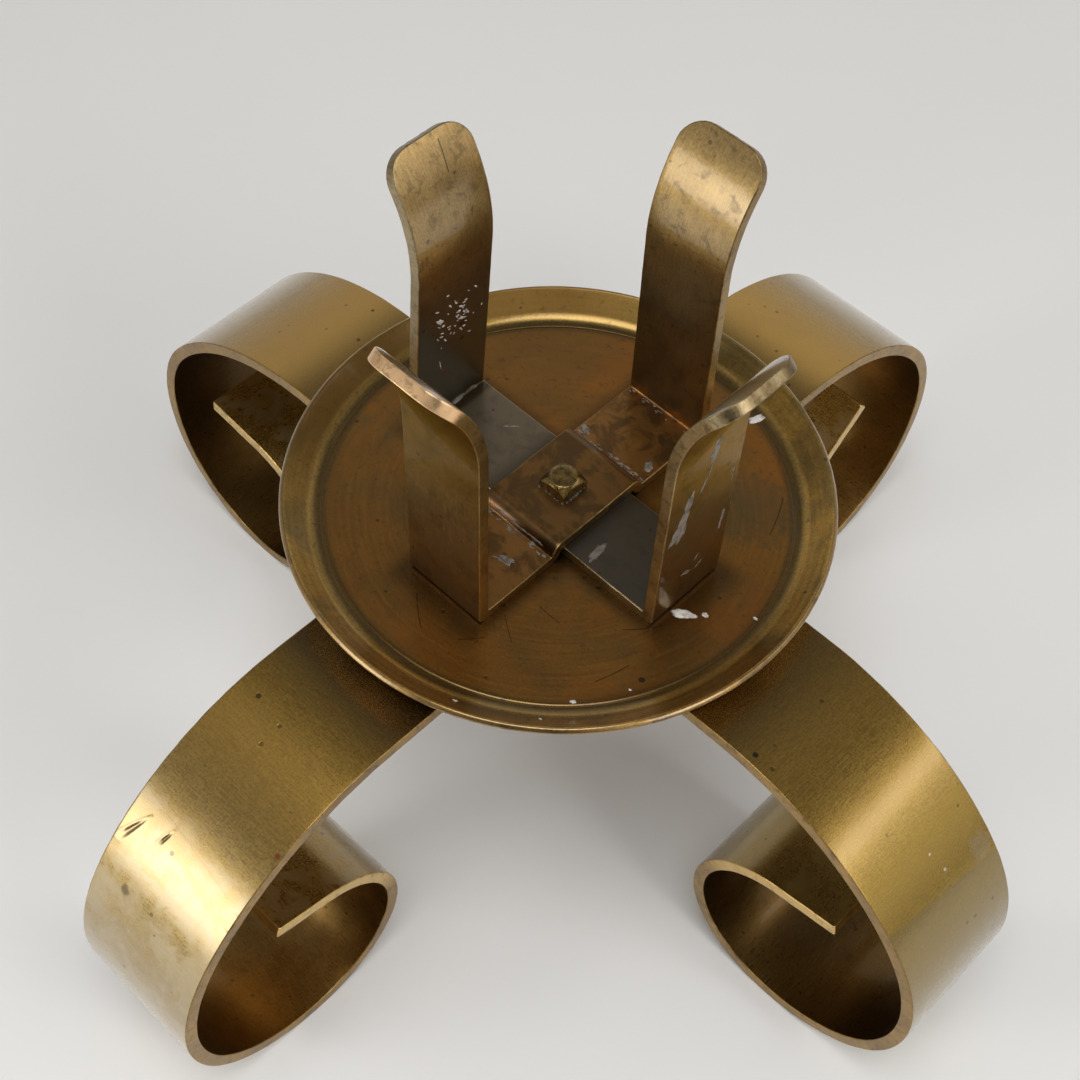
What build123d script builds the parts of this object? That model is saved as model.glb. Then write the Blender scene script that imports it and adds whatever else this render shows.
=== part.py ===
"""Brass candle holder: a spun drip pan clamped between two crossed straps whose ends stand up as
prongs round the candle, and two crossed straps whose ends are rolled into four scroll feet.

Everything hangs on one square-headed bolt. Millimetres, +Z up, the origin on the floor under the
middle of the crossed leg straps. The lower clamp strap and the lower leg strap run along X, the
upper ones along Y.
"""
from build123d import *
import math
import os

# Leg straps: flat bar, each end rolled under into a scroll foot
LEG_WIDTH = 44.5
LEG_THICKNESS = 4.0
LEG_JOGGLE_BEND = 0.6      # inside bend radius where the upper leg strap steps over the lower one
LEG_JOGGLE_GAP = 0.15      # from the lower strap's edge to where the step begins
ROLL_START = 84.9          # distance from the middle to where the roll begins
ROLL_BENDS = [(83.7, 52.6), (56.7, 55.6), (43.1, 73.3)]   # outer radius, angle: it tightens as it goes
CURL_RADIUS = 33.1         # outer radius of the last and tightest bend

# The four feet are rolled by hand and differ a little:
# how much further out the roll starts, angle of the last bend, straight end
FOOT_EAST = (-4.0, 167.0, 20.5)     # +X
FOOT_WEST = (-0.5, 171.0, 21.0)     # -X
FOOT_NORTH = (1.5, 134.0, 34.0)     # +Y
FOOT_SOUTH = (1.5, 162.5, 18.6)     # -Y

# Drip pan: spun sheet with a coved rim
PAN_THICKNESS = 2.0
PAN_FLOOR_RADIUS = 67.4
PAN_RIM_RADIUS = 78.5      # outermost, at the lip
PAN_COVE_RADIUS = 6.0
PAN_COVE_ANGLE = 42.0
PAN_LIP_ROUND = 0.7

# Clamp straps: flat bar, the ends bent up as prongs that flare outwards at the top
CLAMP_WIDTH = 27.2
CLAMP_THICKNESS = 3.4
CLAMP_JOGGLE_BEND = 0.5
CLAMP_JOGGLE_GAP = 0.8     # from the lower strap's edge to where the upper one starts to step down
PRONG_FOOT_INSIDE = 0.5    # radius in the corner at the prong's foot
PRONG_FOOT_OUTSIDE = 1.6
PRONG_UPRIGHT = 64.5       # height above the strap's underside where the flare begins
FLARE_RADIUS = 47.5        # on the outer face
FLARE_ANGLE = 41.5
FLARE_END = 1.3
TIP_CORNER = 8.0

# The prongs are bent up by hand: distance from the bolt to the outer face at the foot, inward lean
PRONG_EAST = (46.4, -1.0)
PRONG_WEST = (49.0, 3.4)
PRONG_NORTH = (46.2, 0.0)
PRONG_SOUTH = (46.2, 0.0)

EDGE_BREAK = 0.35          # rounding along the long edges of every strap

# Fasteners: 1/4 inch square-head bolt, flat washer and square nut. The hole was marked by hand, so
# the bolt stands a little off the middle of the legs and the pan.
BOLT_X = 0.3
BOLT_Y = 1.2
BOLT_DIAMETER = 6.35
BOLT_LENGTH = 25.4
HEAD_SIDE = 9.525
HEAD_HEIGHT = 4.37
HEAD_FLAT_RADIUS = 4.05    # the round flat left on top by the chamfer
HEAD_CHAMFER_SLOPE = 38.0
HOLE_DIAMETER = 6.9
WASHER_DIAMETER = 15.9
WASHER_BORE = 7.1
WASHER_THICKNESS = 1.6
NUT_SIDE = 11.1
NUT_HEIGHT = 5.6
NUT_CLEARANCE = 0.03
NUT_CHAMFER_SLOPE = 25.0


def roll_drop(bends):
    """How far the outer face of a roll falls before it turns back up: the height of a leg."""
    turned = 0.0
    drop = 0.0
    for radius, angle in bends:
        end = min(turned + angle, 180.0)
        drop += radius * (math.cos(math.radians(turned)) - math.cos(math.radians(end)))
        turned = end
    return drop


def joggle_angle(thickness, inside):
    """Bend angle that lifts a strap by one thickness with two opposite bends and no straight."""
    return math.degrees(math.acos(1 - thickness / (2 * inside + thickness)))


LEG_TOP = roll_drop(ROLL_BENDS + [(CURL_RADIUS, 180.0)])    # top face of both leg straps' ends
PAN_UNDERSIDE = LEG_TOP + LEG_THICKNESS                     # it rests on the upper leg strap
PAN_FLOOR = PAN_UNDERSIDE + PAN_THICKNESS
CLAMP_TOP = PAN_FLOOR + 2 * CLAMP_THICKNESS                 # bolt head's seat
LEG_UNDERSIDE = LEG_TOP - LEG_THICKNESS


class Strip:
    """Side outline of a bent strap, walked outwards along its top face.

    Each move adds the same stretch to the top face and to the underside, one thickness below.
    """

    def __init__(self, x, z, thickness):
        self.thickness = thickness
        self.heading = 0.0
        self.top = (x, z)
        self.under = (x, z - thickness)
        self.top_edges = []
        self.under_edges = []

    def direction(self):
        angle = math.radians(self.heading)
        return (math.cos(angle), math.sin(angle))

    def _line(self, start, length, edges):
        dx, dz = self.direction()
        end = (start[0] + dx * length, start[1] + dz * length)
        edges.append(Line(start, end))
        return end

    def _arc(self, start, radius, turn, edges):
        arc = JernArc(start, self.direction(), radius, turn)
        edges.append(arc)
        end = arc @ 1
        return (end.X, end.Y)

    def straight(self, length):
        self.top = self._line(self.top, length, self.top_edges)
        self.under = self._line(self.under, length, self.under_edges)

    def bend(self, top_radius, turn, under_radius=None):
        """Turn by an angle, up when it is positive; under_radius sharpens the underside's corner."""
        natural = top_radius + math.copysign(self.thickness, turn)
        radius = natural if under_radius is None else under_radius
        extra = (natural - radius) * math.tan(math.radians(abs(turn)) / 2)
        if extra > 0:
            self.under = self._line(self.under, extra, self.under_edges)
        self.top = self._arc(self.top, top_radius, turn, self.top_edges)
        self.under = self._arc(self.under, radius, turn, self.under_edges)
        self.heading += turn
        if extra > 0:
            self.under = self._line(self.under, extra, self.under_edges)

    def half(self, width):
        """Solid of this half of the strap, from the middle outwards, along +X."""
        start_cap = Line((self.top_edges[0] @ 0), (self.under_edges[0] @ 0))
        end_cap = Line(self.top, self.under)
        edges = self.top_edges + self.under_edges + [start_cap, end_cap]
        outline = make_face(edges)
        return extrude(Plane.XZ * outline, amount=width / 2, both=True)


def step_down(strip, middle, inside):
    """Flat middle of an upper strap, then the joggle down to the level of the lower strap."""
    angle = joggle_angle(strip.thickness, inside)
    strip.straight(middle)
    strip.bend(inside + strip.thickness, -angle)
    strip.bend(inside, angle)


def leg_half(foot, crosses_over):
    """One scroll leg with its half of the strap; crosses_over for the strap that lies on top."""
    reach, curl_angle, tail = foot
    roll_start = ROLL_START + reach
    if crosses_over:
        strip = Strip(0, LEG_TOP + LEG_THICKNESS, LEG_THICKNESS)
        step_down(strip, LEG_WIDTH / 2 + LEG_JOGGLE_GAP, LEG_JOGGLE_BEND)
    else:
        strip = Strip(0, LEG_TOP, LEG_THICKNESS)
    strip.straight(roll_start - strip.top[0])
    for radius, angle in ROLL_BENDS:
        strip.bend(radius, -angle)
    strip.bend(CURL_RADIUS, -curl_angle)
    strip.straight(tail)
    return strip.half(LEG_WIDTH)


def clamp_half(prong, crosses_over):
    """One prong with its half of the clamp strap."""
    outside, lean = prong
    if crosses_over:
        strip = Strip(0, CLAMP_TOP, CLAMP_THICKNESS)
        step_down(strip, CLAMP_WIDTH / 2 + CLAMP_JOGGLE_GAP, CLAMP_JOGGLE_BEND)
    else:
        strip = Strip(0, PAN_FLOOR + CLAMP_THICKNESS, CLAMP_THICKNESS)
    turn = 90.0 + lean
    corner = PRONG_FOOT_INSIDE * math.tan(math.radians(turn) / 2)
    inner_face = outside - CLAMP_THICKNESS * math.tan(math.radians(turn) / 2)
    strip.straight(inner_face - corner - strip.top[0])
    strip.bend(PRONG_FOOT_INSIDE, turn, PRONG_FOOT_OUTSIDE)
    strip.straight(PRONG_UPRIGHT - CLAMP_THICKNESS)
    strip.bend(FLARE_RADIUS + CLAMP_THICKNESS, -FLARE_ANGLE)
    strip.straight(FLARE_END)
    half = strip.half(CLAMP_WIDTH)
    across_thickness = half.edges().filter_by(lambda edge: abs(edge.length - CLAMP_THICKNESS) < 0.01)
    tip_corners = across_thickness.sort_by(Axis.Z)[-2:]
    return fillet(tip_corners, TIP_CORNER)


def strap(east, west, width):
    """Whole strap from its two halves: the first points along +X, the second is turned to -X."""
    body = east + west.rotate(Axis.Z, 180)
    upright = body.faces().filter_by(Axis.Y)
    sides = upright.filter_by(lambda face: abs(abs(face.center().Y) - width / 2) < 0.01)
    return fillet(sides.edges(), EDGE_BREAK)


def drilled(body):
    """The bolt's hole."""
    return body - Pos(BOLT_X, BOLT_Y, LEG_TOP) * Cylinder(HOLE_DIAMETER / 2, 60)


def on_bolt(body):
    return Pos(BOLT_X, BOLT_Y, 0) * body


def lower_leg_strap():
    return drilled(strap(leg_half(FOOT_EAST, False), leg_half(FOOT_WEST, False), LEG_WIDTH))


def upper_leg_strap():
    body = strap(leg_half(FOOT_NORTH, True), leg_half(FOOT_SOUTH, True), LEG_WIDTH)
    return drilled(body.rotate(Axis.Z, 90))


def lower_clamp_strap():
    body = strap(clamp_half(PRONG_EAST, False), clamp_half(PRONG_WEST, False), CLAMP_WIDTH)
    return drilled(on_bolt(body))


def upper_clamp_strap():
    body = strap(clamp_half(PRONG_NORTH, True), clamp_half(PRONG_SOUTH, True), CLAMP_WIDTH)
    return drilled(on_bolt(body.rotate(Axis.Z, 90)))


def drip_pan():
    """Spun dish: flat floor, small cove, straight flared rim with a rounded lip."""
    slope = math.radians(PAN_COVE_ANGLE)
    cove_and_edge = (PAN_COVE_RADIUS + PAN_THICKNESS) * math.sin(slope)
    rim = Strip(0, PAN_FLOOR, PAN_THICKNESS)
    rim.straight(PAN_FLOOR_RADIUS)
    rim.bend(PAN_COVE_RADIUS, PAN_COVE_ANGLE)
    rim.straight((PAN_RIM_RADIUS - PAN_FLOOR_RADIUS - cove_and_edge) / math.cos(slope))
    start_cap = Line(rim.top_edges[0] @ 0, rim.under_edges[0] @ 0)
    end_cap = Line(rim.top, rim.under)
    section = make_face(rim.top_edges + rim.under_edges + [start_cap, end_cap])
    lip = section.vertices().sort_by(Axis.X)[-2:]
    section = fillet(lip, PAN_LIP_ROUND)
    return drilled(revolve(Plane.XZ * section, Axis.Z))


def chamfer_cone(flat_radius, slope, height):
    """Cone that bevels the corners of a square head: flat_radius on top, slope below it."""
    run = height / math.tan(math.radians(slope))
    return Cone(flat_radius + run, flat_radius, height, align=(Align.CENTER, Align.CENTER, Align.MAX))


def clamp_bolt():
    low = (Align.CENTER, Align.CENTER, Align.MIN)
    high = (Align.CENTER, Align.CENTER, Align.MAX)
    head = Box(HEAD_SIDE, HEAD_SIDE, HEAD_HEIGHT, align=low)
    head = head & (Pos(0, 0, HEAD_HEIGHT) * chamfer_cone(HEAD_FLAT_RADIUS, HEAD_CHAMFER_SLOPE, 12))
    shank = Cylinder(BOLT_DIAMETER / 2, BOLT_LENGTH, align=high)
    shank = chamfer(shank.edges().filter_by(GeomType.CIRCLE).sort_by(Axis.Z)[0], 0.6)
    return on_bolt(Pos(0, 0, CLAMP_TOP) * (head + shank))


def washer():
    ring = Cylinder(WASHER_DIAMETER / 2, WASHER_THICKNESS) - Cylinder(WASHER_BORE / 2, WASHER_THICKNESS)
    return on_bolt(Pos(0, 0, LEG_UNDERSIDE - WASHER_THICKNESS / 2) * ring)


def nut():
    high = (Align.CENTER, Align.CENTER, Align.MAX)
    body = Box(NUT_SIDE, NUT_SIDE, NUT_HEIGHT, align=high)
    bevel = chamfer_cone(NUT_SIDE / 2, NUT_CHAMFER_SLOPE, 12)
    body = body & (Pos(0, 0, -NUT_HEIGHT) * Rot(180, 0, 0) * bevel)
    body = body - Cylinder(BOLT_DIAMETER / 2 + NUT_CLEARANCE, NUT_HEIGHT, align=high)
    return on_bolt(Pos(0, 0, LEG_UNDERSIDE - WASHER_THICKNESS) * body)


PARTS = {
    "lower_leg_strap": lower_leg_strap,
    "upper_leg_strap": upper_leg_strap,
    "drip_pan": drip_pan,
    "lower_clamp_strap": lower_clamp_strap,
    "upper_clamp_strap": upper_clamp_strap,
    "clamp_bolt": clamp_bolt,
    "washer": washer,
    "nut": nut,
}

os.makedirs("parts", exist_ok=True)
for node, make in PARTS.items():
    export_step(make(), f"parts/{node}.step")
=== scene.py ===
"""Looks of an aged brass candle holder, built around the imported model.

Metres, +Z up, the origin on the floor under the middle of the crossed legs. The straps are meshed
as flat bars and then bent along their side profile, so every face keeps its place along and across
the bar for its brushing, patina and dents.
"""
import math
import random

import bmesh
import bpy
from mathutils import Matrix, Vector, noise


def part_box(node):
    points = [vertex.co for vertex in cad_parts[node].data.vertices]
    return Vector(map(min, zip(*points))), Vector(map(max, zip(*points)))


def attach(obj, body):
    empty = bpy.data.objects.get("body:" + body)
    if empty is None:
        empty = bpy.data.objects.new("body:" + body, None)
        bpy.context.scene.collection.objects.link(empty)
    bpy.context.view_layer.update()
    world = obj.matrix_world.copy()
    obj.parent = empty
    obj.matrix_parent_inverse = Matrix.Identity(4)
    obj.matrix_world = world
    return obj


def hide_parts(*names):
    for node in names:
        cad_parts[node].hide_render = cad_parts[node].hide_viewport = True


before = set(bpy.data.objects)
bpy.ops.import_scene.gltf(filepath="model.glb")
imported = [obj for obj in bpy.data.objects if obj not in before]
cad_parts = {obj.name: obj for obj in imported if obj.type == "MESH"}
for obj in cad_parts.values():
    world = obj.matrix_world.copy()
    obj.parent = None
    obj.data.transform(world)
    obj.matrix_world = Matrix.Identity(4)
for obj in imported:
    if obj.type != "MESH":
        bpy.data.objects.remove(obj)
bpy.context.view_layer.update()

MM = 0.001

# Leg straps, as the CAD has them: the roll tightens from the pan to the tip
LEG_THICKNESS = 4.0 * MM
LEG_CORNER = 0.7 * MM
LEG_JOGGLE_BEND = 0.6 * MM
LEG_JOGGLE_GAP = 0.15 * MM
ROLL_START = 84.9 * MM
ROLL_BENDS = [(83.7 * MM, 52.6), (56.7 * MM, 55.6), (43.1 * MM, 73.3)]
CURL_RADIUS = 33.1 * MM
# each foot: how much further out the roll starts, angle of the last bend, straight end
FOOT_EAST = (-4.0 * MM, 167.0, 20.5 * MM)
FOOT_WEST = (-0.5 * MM, 171.0, 21.0 * MM)
FOOT_NORTH = (1.5 * MM, 134.0, 34.0 * MM)
FOOT_SOUTH = (1.5 * MM, 162.5, 18.6 * MM)

# Drip pan
PAN_THICKNESS = 2.0 * MM
PAN_FLOOR_RADIUS = 67.4 * MM
PAN_RIM_RADIUS = 78.5 * MM
PAN_COVE_RADIUS = 6.0 * MM
PAN_COVE_ANGLE = 42.0
PAN_LIP_ROUND = 0.7 * MM
PAN_GROOVE_DEPTH = 0.16 * MM

# Clamp straps and their prongs
CLAMP_THICKNESS = 3.4 * MM
CLAMP_JOGGLE_BEND = 0.5 * MM
CLAMP_JOGGLE_GAP = 0.8 * MM
PRONG_FOOT_INSIDE = 0.5 * MM
PRONG_FOOT_OUTSIDE = 1.6 * MM
PRONG_UPRIGHT = 64.5 * MM
FLARE_RADIUS = 47.5 * MM
FLARE_ANGLE = 41.5
FLARE_END = 1.3 * MM
TIP_CORNER = 8.0 * MM
# each prong: distance from the bolt to the outer face at the foot, inward lean
PRONG_EAST = (46.4 * MM, -1.0)
PRONG_WEST = (49.0 * MM, 3.4)
PRONG_NORTH = (46.2 * MM, 0.0)
PRONG_SOUTH = (46.2 * MM, 0.0)

EDGE_ROUND = 0.35 * MM
HOLE_RADIUS = 3.45 * MM
HOLE_CUT_LENGTH = 80.0 * MM

# Levels, widths and the bolt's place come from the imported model
LEG_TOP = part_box("lower_leg_strap")[1].z
PAN_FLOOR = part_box("lower_clamp_strap")[0].z
CLAMP_TOP = PAN_FLOOR + 2 * CLAMP_THICKNESS
LEG_WIDTH = 2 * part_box("lower_leg_strap")[1].y
CLAMP_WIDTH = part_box("lower_clamp_strap")[1].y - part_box("lower_clamp_strap")[0].y
BOLT = (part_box("clamp_bolt")[0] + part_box("clamp_bolt")[1]) / 2

# Mesh fineness
ROW_STEP = 1.7 * MM
ROW_ANGLE = 2.5
COLUMNS = 22
EDGE_STEPS = 3
DENT_STEP = 0.3 * MM
CLOSEST = 0.12 * MM
CORNER_STEPS = 8
PAN_TURNS = 320
FASTENER_TURNS = 96


def smooth(value):
    """Smooth step from 0 to 1 as value goes from 0 to 1."""
    value = min(max(value, 0.0), 1.0)
    return value * value * (3 - 2 * value)


def spaced(values, gap):
    """Sorted values, without those that follow another one too closely."""
    kept = []
    for value in sorted(values):
        if not kept or value - kept[-1] > gap:
            kept.append(value)
    return kept


class StripPath:
    """Side view of half a bent strap, walked outwards from the bolt.

    at(distance) gives a point of the top face and the point of the underside that lies under it;
    distances are measured along the top face.
    """

    def __init__(self, x, z, thickness):
        self.thickness = thickness
        self.heading = 0.0
        self.top = Vector((x, z))
        self.under = Vector((x, z - thickness))
        self.length = 0.0
        self.stretches = []

    def direction(self):
        return Vector((math.cos(self.heading), math.sin(self.heading)))

    def _add(self, length, steps, place):
        self.stretches.append((self.length, length, steps, place))
        self.length += length
        self.top, self.under = place(1.0)

    def straight(self, length):
        top, under, step = self.top.copy(), self.under.copy(), self.direction() * length
        self._add(length, max(1, round(length / ROW_STEP)), lambda t: (top + step * t, under + step * t))

    def bend(self, top_radius, degrees, under_radius=None):
        """Turn by an angle, up when it is positive; under_radius sharpens the underside's corner."""
        turn = math.radians(degrees)
        side = math.copysign(1.0, turn)
        natural = top_radius + side * self.thickness
        sharp = natural if under_radius is None else under_radius
        spare = (natural - sharp) * math.tan(abs(turn) / 2)
        top, under, ahead = self.top.copy(), self.under.copy(), self.direction()
        left = Vector((-ahead.y, ahead.x)) * side
        under_length = sharp * abs(turn) + 2 * spare

        def arc(start, radius, share):
            centre = start + left * radius
            return centre + Matrix.Rotation(turn * share, 2) @ (start - centre)

        def place(t):
            along = t * under_length
            if along <= spare:
                low = under + ahead * along
            elif along >= under_length - spare:
                exit_direction = Matrix.Rotation(turn, 2) @ ahead
                low = arc(under + ahead * spare, sharp, 1.0)
                low += exit_direction * (along - under_length + spare)
            else:
                low = arc(under + ahead * spare, sharp, (along - spare) / (sharp * abs(turn)))
            return arc(top, top_radius, t), low

        length = top_radius * abs(turn)
        steps = max(4, round(abs(degrees) / ROW_ANGLE), round(length / ROW_STEP))
        self._add(length, steps, place)
        self.heading += turn

    def at(self, distance):
        for start, length, _, place in self.stretches:
            if distance <= start + length:
                return place((distance - start) / length)
        spare = self.direction() * (distance - self.length)
        return self.top + spare, self.under + spare

    def rows(self):
        """Distances at which the mesh has a row, without the first one."""
        found = []
        for start, length, steps, _ in self.stretches:
            found += [start + length * (i + 1) / steps for i in range(steps)]
        return found


def step_down(path, middle, inside):
    """Flat middle of an upper strap, then the joggle down to the level of the lower strap."""
    angle = math.degrees(math.acos(1 - path.thickness / (2 * inside + path.thickness)))
    path.straight(middle)
    path.bend(inside + path.thickness, -angle)
    path.bend(inside, angle)


def leg_path(foot, crosses_over):
    reach, curl_angle, tail = foot
    if crosses_over:
        path = StripPath(0, LEG_TOP + LEG_THICKNESS, LEG_THICKNESS)
        step_down(path, LEG_WIDTH / 2 + LEG_JOGGLE_GAP, LEG_JOGGLE_BEND)
    else:
        path = StripPath(0, LEG_TOP, LEG_THICKNESS)
    path.straight(ROLL_START + reach - path.top.x)
    for radius, angle in ROLL_BENDS:
        path.bend(radius, -angle)
    path.bend(CURL_RADIUS, -curl_angle)
    path.straight(tail)
    return path


def clamp_path(prong, crosses_over):
    outside, lean = prong
    if crosses_over:
        path = StripPath(0, CLAMP_TOP, CLAMP_THICKNESS)
        step_down(path, CLAMP_WIDTH / 2 + CLAMP_JOGGLE_GAP, CLAMP_JOGGLE_BEND)
    else:
        path = StripPath(0, PAN_FLOOR + CLAMP_THICKNESS, CLAMP_THICKNESS)
    slant = math.tan(math.radians(90.0 + lean) / 2)
    path.straight(outside - (CLAMP_THICKNESS + PRONG_FOOT_INSIDE) * slant - path.top.x)
    path.bend(PRONG_FOOT_INSIDE, 90.0 + lean, PRONG_FOOT_OUTSIDE)
    path.straight(PRONG_UPRIGHT - CLAMP_THICKNESS)
    path.bend(FLARE_RADIUS + CLAMP_THICKNESS, -FLARE_ANGLE)
    path.straight(FLARE_END)
    return path


class Gouge:
    """A dent in a strap's top face: a rounded groove with a raised burr round it."""

    def __init__(self, along, across, length, width, degrees, depth):
        self.along, self.across = along, across
        self.length, self.width, self.depth = length, width, depth
        self.cos, self.sin = math.cos(math.radians(degrees)), math.sin(math.radians(degrees))
        self.reach = length * 0.75

    def steps(self, middle):
        """Fine steps over the dent, round its middle along or across the bar."""
        return [middle - self.reach + i * DENT_STEP for i in range(int(2 * self.reach / DENT_STEP))]

    def height(self, along, across):
        ds, dv = along - self.along, across - self.across
        if abs(ds) > self.reach or abs(dv) > self.reach:
            return 0.0
        u = (ds * self.cos + dv * self.sin) / (self.length / 2)
        w = (dv * self.cos - ds * self.sin) / (self.width / 2) * (1.25 + 0.5 * u)
        ring = math.hypot(u, w)
        return -self.depth * smooth(1.25 - ring) + 0.25 * self.depth * smooth(1 - abs(ring - 1.5) * 2)


class Strap:
    """A bar of rounded outline, bent along its side view: the first path runs to +X, the second to -X."""

    def __init__(self, east, west, width, corner, seed, world, gouges=()):
        self.east, self.west, self.width, self.corner = east, west, width, corner
        self.world = world
        self.seed = seed
        self.gouges = gouges
        self.thickness = east.thickness
        self.vertices = []
        self.faces = []
        self.face_slots = []
        self.places = []

    def outline_rows(self, path):
        """(distance, half width, angle of the outline's normal) from the bolt to one end, inset by
        the edge rounding."""
        straight_end = path.length - self.corner
        half = self.width / 2 - EDGE_ROUND
        found = path.rows()
        sign = 1 if path is self.east else -1
        for gouge in self.gouges:
            if gouge.along * sign > 0:
                found += gouge.steps(gouge.along * sign)
        found = [s for s in spaced(found, CLOSEST) if s < straight_end - CLOSEST]
        rows = [(s, half, 0.0) for s in found] + [(straight_end, half, 0.0)]
        inner = self.corner - EDGE_ROUND
        for i in range(1, CORNER_STEPS + 1):
            angle = math.radians(90 * i / CORNER_STEPS)
            across = self.width / 2 - self.corner + inner * math.cos(angle)
            rows.append((straight_end + inner * math.sin(angle), across, angle))
        return rows

    def columns(self):
        """Places across the bar, from -1 to 1."""
        found = [2 * i / COLUMNS - 1 for i in range(COLUMNS + 1)]
        half = self.width / 2 - EDGE_ROUND
        for gouge in self.gouges:
            found += [step / half for step in gouge.steps(gouge.across)]
        kept = spaced([c for c in found if -1 <= c <= 1], CLOSEST / half)
        kept[-1] = 1.0
        return kept

    def waver(self, along, across):
        """Hand-made unevenness of the whole bar."""
        fade = smooth(abs(along) / (60 * MM) - 0.35)
        slow = noise.noise(Vector((along / 0.03, across / 0.03, self.seed)))
        quick = noise.noise(Vector((along / 0.009, across / 0.012, self.seed + 7.3)))
        return fade * (0.05 * slow + 0.008 * quick) * MM

    def point(self, along, across, depth):
        """A point of the bent bar; depth goes down from the top face."""
        path = self.east if along >= 0 else self.west
        top, under = path.at(abs(along))
        down = (under - top) / self.thickness
        shift = depth - self.waver(along, across)
        if depth < EDGE_ROUND:
            shift -= sum(gouge.height(along, across) for gouge in self.gouges)
        place = top + down * shift
        return Vector((place.x if along >= 0 else -place.x, across, place.y))

    def _vertex(self, along, across, depth):
        self.vertices.append(self.point(along, across, depth))
        self.places.append((along, across))
        return len(self.vertices) - 1

    def _quad(self, corners, slot):
        self.faces.append(corners)
        self.face_slots.append(slot)

    def place(self, along, across, lift, under=False):
        """A point above the top face, or below the underside, in the world."""
        local = self.point(along, across, self.thickness + lift if under else -lift)
        return self.world @ local

    def build(self, name, materials):
        """Mesh object with the outer face, the underside and the cut edges in their own materials."""
        west = [(-s, half, -angle) for s, half, angle in self.outline_rows(self.west)]
        east = self.outline_rows(self.east)
        rows = west[::-1] + [(0.0, self.width / 2 - EDGE_ROUND, 0.0)] + east
        columns = self.columns()
        sheets = []
        for depth in (0.0, self.thickness):
            sheets.append([[self._vertex(s, c * half, depth) for c in columns] for s, half, _ in rows])
        top, low = sheets
        for i in range(len(rows) - 1):
            for j in range(len(columns) - 1):
                self._quad((top[i][j], top[i + 1][j], top[i + 1][j + 1], top[i][j + 1]), 0)
                self._quad((low[i][j], low[i][j + 1], low[i + 1][j + 1], low[i + 1][j]), 1)
        self._edges(rows, columns, sheets)
        return self._object(name, materials)

    def _edges(self, rows, columns, sheets):
        """Rounded rim all round the bar, between its two faces."""
        last_row, last_column = len(rows) - 1, len(columns) - 1
        loop = []
        for i, (_, _, angle) in enumerate(rows):
            loop.append((i, last_column, math.sin(angle), math.cos(angle)))
        far_side = [(i, 0, ahead, -aside) for i, _, ahead, aside in loop[::-1]]
        loop += [(last_row, j, 1.0, 0.0) for j in range(last_column - 1, 0, -1)]
        loop += far_side
        loop += [(0, j, -1.0, 0.0) for j in range(1, last_column)]
        profile = []
        for k in range(1, EDGE_STEPS + 1):
            angle = math.pi / 2 * k / EDGE_STEPS
            profile.append((math.sin(angle), EDGE_ROUND * (1 - math.cos(angle))))
        profile += [(out, self.thickness - depth) for out, depth in profile[::-1]]
        rings = [[sheets[0][i][j] for i, j, _, _ in loop]]
        for out, depth in profile:
            ring = []
            for i, j, ahead, aside in loop:
                s, half, _ = rows[i]
                worn_at = Vector((s / 0.004, j / last_column * 9, self.seed + depth * 90))
                reach = EDGE_ROUND * out * (1 + 0.3 * noise.noise(worn_at))
                ring.append(self._vertex(s + ahead * reach, columns[j] * half + aside * reach, depth))
            rings.append(ring)
        rings.append([sheets[1][i][j] for i, j, _, _ in loop])
        count = len(loop)
        for upper, lower in zip(rings, rings[1:]):
            for k in range(count):
                after = (k + 1) % count
                self._quad((upper[k], upper[after], lower[after], lower[k]), 2)

    def _object(self, name, materials):
        mesh, layer = new_mesh(name, self.vertices, self.faces, materials, self.face_slots)
        for loop in mesh.loops:
            layer.data[loop.index].uv = self.places[loop.vertex_index]
        mesh.transform(self.world)
        return finished(name, mesh)


def new_mesh(name, vertices, faces, materials, face_slots):
    """A mesh and its UV layer, which holds the place along and across the bar."""
    mesh = bpy.data.meshes.new(name)
    mesh.from_pydata(vertices, [], faces)
    for material in materials:
        mesh.materials.append(material)
    mesh.polygons.foreach_set("material_index", face_slots)
    return mesh, mesh.uv_layers.new(name="bar")


def finished(name, mesh, weighted=True):
    """Object of a mesh: clean, closed, smooth shaded."""
    work = bmesh.new()
    work.from_mesh(mesh)
    bmesh.ops.remove_doubles(work, verts=work.verts, dist=0.00001 * MM)
    bmesh.ops.recalc_face_normals(work, faces=work.faces)
    work.to_mesh(mesh)
    work.free()
    mesh.polygons.foreach_set("use_smooth", [True] * len(mesh.polygons))
    piece = bpy.data.objects.new(name, mesh)
    bpy.context.scene.collection.objects.link(piece)
    if weighted:
        piece.modifiers.new("normals", "WEIGHTED_NORMAL").weight = 80
    return piece


def drill(piece):
    """The bolt's hole through a piece."""
    bpy.ops.mesh.primitive_cylinder_add(vertices=48, radius=HOLE_RADIUS, depth=HOLE_CUT_LENGTH,
                                        location=(BOLT.x, BOLT.y, PAN_FLOOR))
    tool = bpy.context.object
    cut = piece.modifiers.new("hole", "BOOLEAN")
    cut.object = tool
    cut.solver = "EXACT"
    bpy.context.view_layer.objects.active = piece
    with bpy.context.temp_override(object=piece, active_object=piece):
        bpy.ops.object.modifier_move_to_index(modifier="hole", index=0)
        bpy.ops.object.modifier_apply(modifier="hole")
    bpy.data.objects.remove(tool)


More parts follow.
